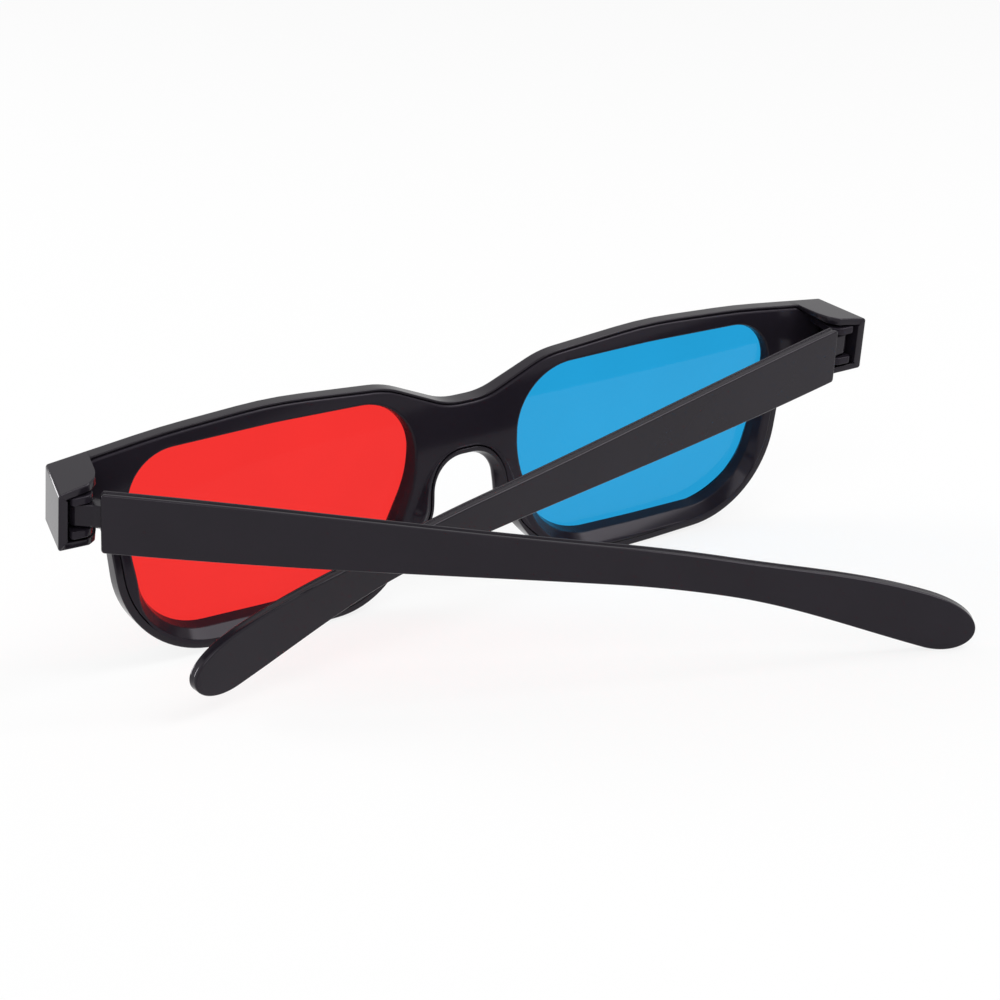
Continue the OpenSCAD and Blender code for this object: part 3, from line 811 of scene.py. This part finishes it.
def temple_profile(p, spot):
    """Cross section of a temple's narrow side as (inset, offset), from its outer face in"""
    t = p.temple
    inner = t.out - t.thick
    far, near = inner + 0.4 * MM, t.out - 0.6 * MM
    deep = t.channel * part_of((t.reach - t.tip - spot.at.x) / (20 * MM)) + 0.01 * MM
    slant, soft = 0.1 * MM, 0.08 * MM
    return rounded_edges([
        (1.5 * MM, t.out), (0, t.out, t.edge), (0, near, soft), (deep, near - slant, soft),
        (deep, far + slant, soft), (0, far, soft), (0, inner, 0.35 * MM), (1.5 * MM, inner)])


def mould_temple(p, name, side, fold, lift, material):
    """A temple with its barrel, side 1 for the left one and -1 for its mirror image"""
    t, hinge = p.temple, p.hinge
    on_axis = (p.stand @ Matrix.Scale(side, 4, (1, 0, 0))
               @ Matrix.Translation((p.axis_x, hinge.axis_y, p.barrel_mid))
               @ Matrix.Rotation(fold, 4, "Z"))
    plate_way = on_axis @ Matrix.Rotation(lift, 4, "X") @ Matrix.Translation((0, 0, -p.barrel_mid))
    temple = Moulding(name + "_bar")
    spots = along(temple_outline(p))
    temple.capped(rings_of(spots, [temple_profile(p, spot) for spot in spots],
                           lambda at, n: plate_way @ Vector((n, at.x, at.y))))
    r = hinge.barrel_r
    barrel = outline([
        (-r, -r, r * 0.99), (-r, 0.9 * r, 0.8 * r), (0.2 * MM, t.butt_d + MM, 0.3 * MM),
        (2.5 * MM, t.butt_d + 0.9 * MM, 0.2 * MM), (r, p.front.end_d - hinge.axis_y, 0.5 * MM),
        (r, -r, r * 0.99)], lambda n, s: MM)
    half = (p.barrel_top - p.barrel_low) / 2
    chamfer = rounded_edges([
        (MM, -half), (0.5 * MM, -half, 0.1 * MM), (0, 0.5 * MM - half, 0.2 * MM),
        (0, half, 0.25 * MM), (MM, half)])
    temple.capped(rings_of(barrel, [chamfer] * len(barrel), lambda at, z: on_axis @ Vector(
        (at.x, at.y, z))))
    temple.finished(name, name, material)


def turn_pin(p, name, side, material):
    """A drawn steel pin with rounded ends"""
    bpy.ops.object.select_all(action="DESELECT")
    high = p.lug_top - p.lug_low - 0.1 * MM
    bpy.ops.mesh.primitive_cylinder_add(vertices=32, radius=p.hinge.pin_d / 2, depth=high)
    pin = bpy.context.active_object
    pin.name = pin.data.name = name + "_wire"
    bpy.ops.object.mode_set(mode="EDIT")
    bpy.ops.mesh.select_all(action="DESELECT")
    mesh = bmesh.from_edit_mesh(pin.data)
    for face in mesh.faces:
        face.select = abs(face.normal.z) > 0.9
    mesh.select_flush(True)
    bmesh.update_edit_mesh(pin.data)
    bpy.ops.mesh.bevel(offset=0.15 * MM, segments=3, affect="EDGES")
    bpy.ops.object.mode_set(mode="OBJECT")
    place = p.stand @ Matrix.Translation(
        (side * p.axis_x, p.hinge.axis_y, (p.lug_low + p.lug_top) / 2))
    pin.data.transform(place)
    bpy.ops.object.shade_smooth_by_angle(angle=SMOOTH_ANGLE)
    pin.data.materials.append(material)
    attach(pin, "front")
    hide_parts(name)


class Wire:
    """A socket in a node tree: sums and products of wires and numbers add Math nodes"""

    def __init__(self, nodes, socket):
        self.nodes = nodes
        self.socket = socket

    def math(self, operation, a, b):
        return self.nodes.add("ShaderNodeMath", {"operation": operation}, {0: a, 1: b})

    def __add__(self, other):
        return self.math("ADD", self, other)

    def __mul__(self, other):
        return self.math("MULTIPLY", self, other)

    __radd__ = __add__
    __rmul__ = __mul__


class Nodes:
    """The node tree of a finish, of the floor or of the world"""

    def __init__(self, tree):
        self.tree = tree
        tree.nodes.clear()

    def add(self, kind, settings=None, values=None, out=0):
        """Adds a node, sets what it is set to, then gives its sockets values or wires"""
        node = self.tree.nodes.new(kind)
        for name, value in (settings or {}).items():
            setattr(node, name, value)
        for name, value in (values or {}).items():
            if isinstance(value, Wire):
                self.tree.links.new(value.socket, node.inputs[name])
            else:
                node.inputs[name].default_value = value
        return Wire(self, node.outputs[out]) if node.outputs else node


def rgba(tone, scale=1.0):
    """A colour as a socket takes it, lighter or darker by a factor"""
    return (*[part_of(c * scale) for c in tone], 1.0)


def new_finish(name):
    """A new material and its empty node tree"""
    material = bpy.data.materials.new(name)
    material.use_nodes = True
    return material, Nodes(material.node_tree)


def noise(nodes, place, scale, detail):
    return nodes.add("ShaderNodeTexNoise", values={
        "Vector": place, "Scale": scale, "Detail": detail, "Roughness": 0.5})


def shades(nodes, part, tone, dark, light):
    """A tone that varies between a dark and a light factor"""
    return nodes.add("ShaderNodeMix", {"data_type": "RGBA"}, {
        0: part, 6: rgba(tone, dark), 7: rgba(tone, light)}, out=2)


def moulded_plastic(name, finishes, shine, depth):
    """Glossy black plastic of a shine and depth of tone, with cloudy gloss and slight waves"""
    material, nodes = new_finish(name)
    place = nodes.add("ShaderNodeTexCoord", out="Object")
    clouds = noise(nodes, place, 90, 3)
    grain = noise(nodes, place, 2600, 2)
    waves = noise(nodes, place, 260, 1)
    tone = shades(nodes, clouds, finishes.plastic, 0.8 * depth, 1.25 * depth)
    bump = nodes.add("ShaderNodeBump", values={
        "Strength": 0.12, "Distance": 0.02 * MM, "Height": waves * 0.9 + grain * 0.1})
    surface = nodes.add("ShaderNodeBsdfPrincipled", values={
        "Base Color": tone, "Roughness": finishes.gloss - 0.03 + clouds * 0.08,
        "Specular IOR Level": shine, "Specular Tint": (0.97, 0.91, 1, 1), "IOR": 1.5,
        "Normal": bump})
    nodes.add("ShaderNodeOutputMaterial", values={"Surface": surface})
    return material


def tinted_film(name, tint, bend):
    """A clear tinted film with a little haze and the ripple of a stretched sheet"""
    material, nodes = new_finish(name)
    place = nodes.add("ShaderNodeTexCoord", out="Object")
    clouds = noise(nodes, place, 60, 2)
    ripple = noise(nodes, place, 45, 1)
    tone = shades(nodes, clouds, tint, 0.95, 1.04)
    bump = nodes.add("ShaderNodeBump", values={
        "Strength": 0.04, "Distance": 0.05 * MM, "Height": ripple})
    surface = nodes.add("ShaderNodeBsdfPrincipled", values={
        "Base Color": tone, "Roughness": 0.02 + clouds * 0.02, "Transmission Weight": 1.0,
        "IOR": bend, "Normal": bump})
    nodes.add("ShaderNodeOutputMaterial", values={"Surface": surface})
    return material


def drawn_steel(name, tint):
    """Steel wire with fine lines along its length"""
    material, nodes = new_finish(name)
    place = nodes.add("ShaderNodeTexCoord", out="Object")
    lines = noise(nodes, nodes.add("ShaderNodeMapping", values={
        "Vector": place, "Scale": (1, 1, 0.05)}), 9000, 2)
    tone = shades(nodes, lines, tint, 0.75, 1.1)
    surface = nodes.add("ShaderNodeBsdfPrincipled", values={
        "Base Color": tone, "Metallic": 1.0, "Roughness": 0.22 + lines * 0.2})
    nodes.add("ShaderNodeOutputMaterial", values={"Surface": surface})
    return material


def seen_ray(nodes):
    """1 for rays that show the backdrop: from the camera, in gloss and through the films"""
    light = "ShaderNodeLightPath"
    camera = nodes.add(light, out="Is Camera Ray")
    glossy = nodes.add(light, out="Is Glossy Ray")
    through = nodes.add(light, out="Is Transmission Ray")
    return nodes.add("ShaderNodeClamp", values={"Value": camera + glossy + through})


def pale_floor(tint):
    """White to the camera, with a share of plain floor that keeps the shadow"""
    material, nodes = new_finish("pale_floor")
    plain = nodes.add("ShaderNodeBsdfDiffuse", values={"Color": rgba(tint)})
    white = nodes.add("ShaderNodeEmission", values={"Color": (1, 1, 1, 1), "Strength": 1.0})
    surface = nodes.add("ShaderNodeMixShader", values={
        0: seen_ray(nodes) * FLOOR_WHITE, 1: plain, 2: white})
    nodes.add("ShaderNodeOutputMaterial", values={"Surface": surface})
    return material


class GLASSES_OT_front(bpy.types.Operator):
    """Mould the front shell and the rear cover with its hinge lugs"""

    bl_idname = "glasses.front"
    bl_label = "Mould Front"

    def execute(self, context):
        p = layout()
        finish = context.scene.glasses_finish
        mould_shell(p, moulded_plastic("black_shell_plastic", finish, finish.shell_shine, 1))
        black = moulded_plastic("black_cover_plastic", finish, finish.cover_shine,
                                finish.cover_tone)
        mould_cover(p, black)
        mould_lugs(p, 1, black)
        mould_lugs(p, -1, black)
        return {"FINISHED"}


class GLASSES_OT_films(bpy.types.Operator):
    """Cut the red and the cyan film"""

    bl_idname = "glasses.films"
    bl_label = "Cut Films"

    def execute(self, context):
        p = layout()
        finish = context.scene.glasses_finish
        left, right = both_sides(p.lens_spots)
        mould_film(p, "red_film", left, "red_lens",
                   tinted_film("red_tint", finish.red, finish.red_bend))
        mould_film(p, "cyan_film", right, "cyan_lens",
                   tinted_film("cyan_tint", finish.cyan, finish.cyan_bend))
        return {"FINISHED"}


class GLASSES_OT_temples(bpy.types.Operator):
    """Mould the two temples as they stand"""

    bl_idname = "glasses.temples"
    bl_label = "Mould Temples"

    def execute(self, context):
        p = layout()
        t = p.temple
        finish = context.scene.glasses_finish
        black = moulded_plastic("black_temple_plastic", finish, finish.temple_shine, 1)
        mould_temple(p, "left_temple", 1, t.left_fold, t.lift, black)
        mould_temple(p, "right_temple", -1, t.right_fold, -t.lift, black)
        return {"FINISHED"}


class GLASSES_OT_pins(bpy.types.Operator):
    """Turn the two hinge pins"""

    bl_idname = "glasses.pins"
    bl_label = "Turn Pins"

    def execute(self, context):
        p = layout()
        steel = drawn_steel("pin_steel", context.scene.glasses_finish.steel)
        turn_pin(p, "left_hinge_pin", 1, steel)
        turn_pin(p, "right_hinge_pin", -1, steel)
        return {"FINISHED"}


# Lamps as place, size in metres and power in watts; all of them face the glasses
LAMPS = {
    "top_softbox": ((-0.45, 0.3, 0.72), 0.5, 4.0),
    "camera_side_softbox": ((0.55, 0.75, 0.85), 0.6, 3.0),
    "front_left_softbox": ((0.55, -0.75, 0.16), 0.5, 10.0),
}
# Place and turn of the camera that took the photo, in the frame of the front before it leans
CAMERA_PLACE = (0.263795, 0.388694, 0.234158)
CAMERA_TURN = (62.7302, -3.79645, 146.968)
CAMERA_LENS = 117.276
AIM = Vector((0, 0, 0.02))
FLOOR_SIZE = 8
# Share of white in the floor as the camera sees it, and strength of the light all around
FLOOR_WHITE = 0.82
AMBIENT = 0.45


class GLASSES_OT_stage(bpy.types.Operator):
    """Set up the floor, the white surroundings, the lamps and the camera"""

    bl_idname = "glasses.stage"
    bl_label = "Set Stage"

    def execute(self, context):
        scene = context.scene
        bpy.ops.object.select_all(action="DESELECT")
        bpy.ops.mesh.primitive_plane_add(size=FLOOR_SIZE)
        floor = context.active_object
        floor.name = "floor"
        floor.data.materials.append(pale_floor(scene.glasses_finish.floor))
        for name, (place, size, power) in LAMPS.items():
            bpy.ops.object.light_add(type="AREA", location=place)
            lamp = context.active_object
            lamp.name = name
            lamp.rotation_euler = (AIM - Vector(place)).to_track_quat("-Z", "Y").to_euler()
            lamp.data.size = size
            lamp.data.energy = power
            lamp.visible_camera = False
        world = bpy.data.worlds.new("white_room")
        world.use_nodes = True
        scene.world = world
        nodes = Nodes(world.node_tree)
        sky = nodes.add("ShaderNodeBackground", values={
            "Color": (1, 1, 1, 1), "Strength": AMBIENT + seen_ray(nodes) * (1 - AMBIENT)})
        nodes.add("ShaderNodeOutputWorld", values={"Surface": sky})
        bpy.ops.object.camera_add()
        camera = context.active_object
        camera.name = "photo_camera"
        turn = Euler([math.radians(a) for a in CAMERA_TURN])
        camera.matrix_world = layout().stand @ Matrix.LocRotScale(CAMERA_PLACE, turn, None)
        camera.data.lens = CAMERA_LENS
        camera.data.clip_start = 0.01
        scene.camera = camera
        scene.view_settings.view_transform = "Standard"
        return {"FINISHED"}


class GLASSES_PT_panel(bpy.types.Panel):
    """The glasses' steps in the sidebar"""

    bl_label = "3D Glasses"
    bl_space_type = "VIEW_3D"
    bl_region_type = "UI"
    bl_category = "3D Glasses"

    def draw(self, context):
        for operator in OPERATORS:
            self.layout.operator(operator.bl_idname)
        for group in GROUPS:
            sizes = getattr(context.scene, group)
            for name in sizes.__annotations__:
                self.layout.prop(sizes, name)


GROUPS = {
    "glasses_lens": LensSizes,
    "glasses_front": FrontSizes,
    "glasses_hinge": HingeSizes,
    "glasses_temple": TempleSizes,
    "glasses_finish": Finishes,
}
OPERATORS = [GLASSES_OT_front, GLASSES_OT_films, GLASSES_OT_temples, GLASSES_OT_pins,
             GLASSES_OT_stage]


def register():
    for cls in [*GROUPS.values(), *OPERATORS, GLASSES_PT_panel]:
        bpy.utils.register_class(cls)
    for name, group in GROUPS.items():
        setattr(bpy.types.Scene, name, PointerProperty(type=group))


def unregister():
    for name in GROUPS:
        delattr(bpy.types.Scene, name)
    for cls in reversed([*GROUPS.values(), *OPERATORS, GLASSES_PT_panel]):
        bpy.utils.unregister_class(cls)


def main():
    register()
    bpy.ops.glasses.front()
    bpy.ops.glasses.films()
    bpy.ops.glasses.temples()
    bpy.ops.glasses.pins()
    bpy.ops.glasses.stage()


if __name__ == "__main__":
    main()
